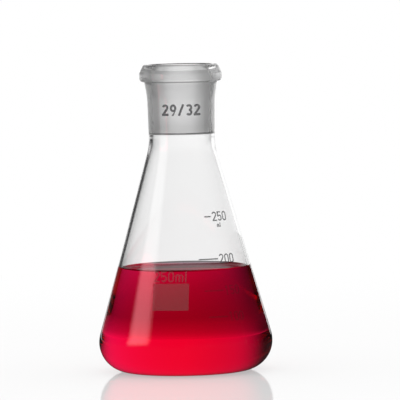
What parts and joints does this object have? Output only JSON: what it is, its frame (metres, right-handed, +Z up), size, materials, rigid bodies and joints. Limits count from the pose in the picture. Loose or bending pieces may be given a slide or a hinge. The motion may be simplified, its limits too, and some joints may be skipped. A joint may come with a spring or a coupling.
{
  "type": "erlenmeyer flask",
  "caption": "Conical laboratory flask with a ground-glass tapered neck, printed volume marks and a red liquid filling that can swirl inside it.",
  "frame": {"origin": "on the table, at the centre of the base", "axes": "+Z up along the flask's axis; the printed writing field faces -Y"},
  "size_m": [0.082, 0.082, 0.145],
  "materials": {
    "clear_glass": "clear, fire-polished",
    "ground_glass": "clear outside, ground matt bore",
    "red_liquid": "clear crimson liquid",
    "grey_enamel": "thin satin enamel print",
    "dark_enamel": "thin satin enamel print"
  },
  "bodies": {
    "flask": {"flask_body": "clear_glass", "ground_socket": "ground_glass", "marking_spot": "grey_enamel", "capacity_mark": "grey_enamel", "joint_size_mark": "dark_enamel", "graduation_100": "dark_enamel", "graduation_150": "dark_enamel", "graduation_200": "dark_enamel", "graduation_250": "dark_enamel"},
    "filling": {"liquid": "red_liquid"}
  },
  "joints": [
    {"name": "liquid_swirl", "type": "hinge", "parent": "flask", "child": "filling", "pos_m": [0, 0, 0.025], "axis": [0, 0, 1], "continuous": true}
  ]
}
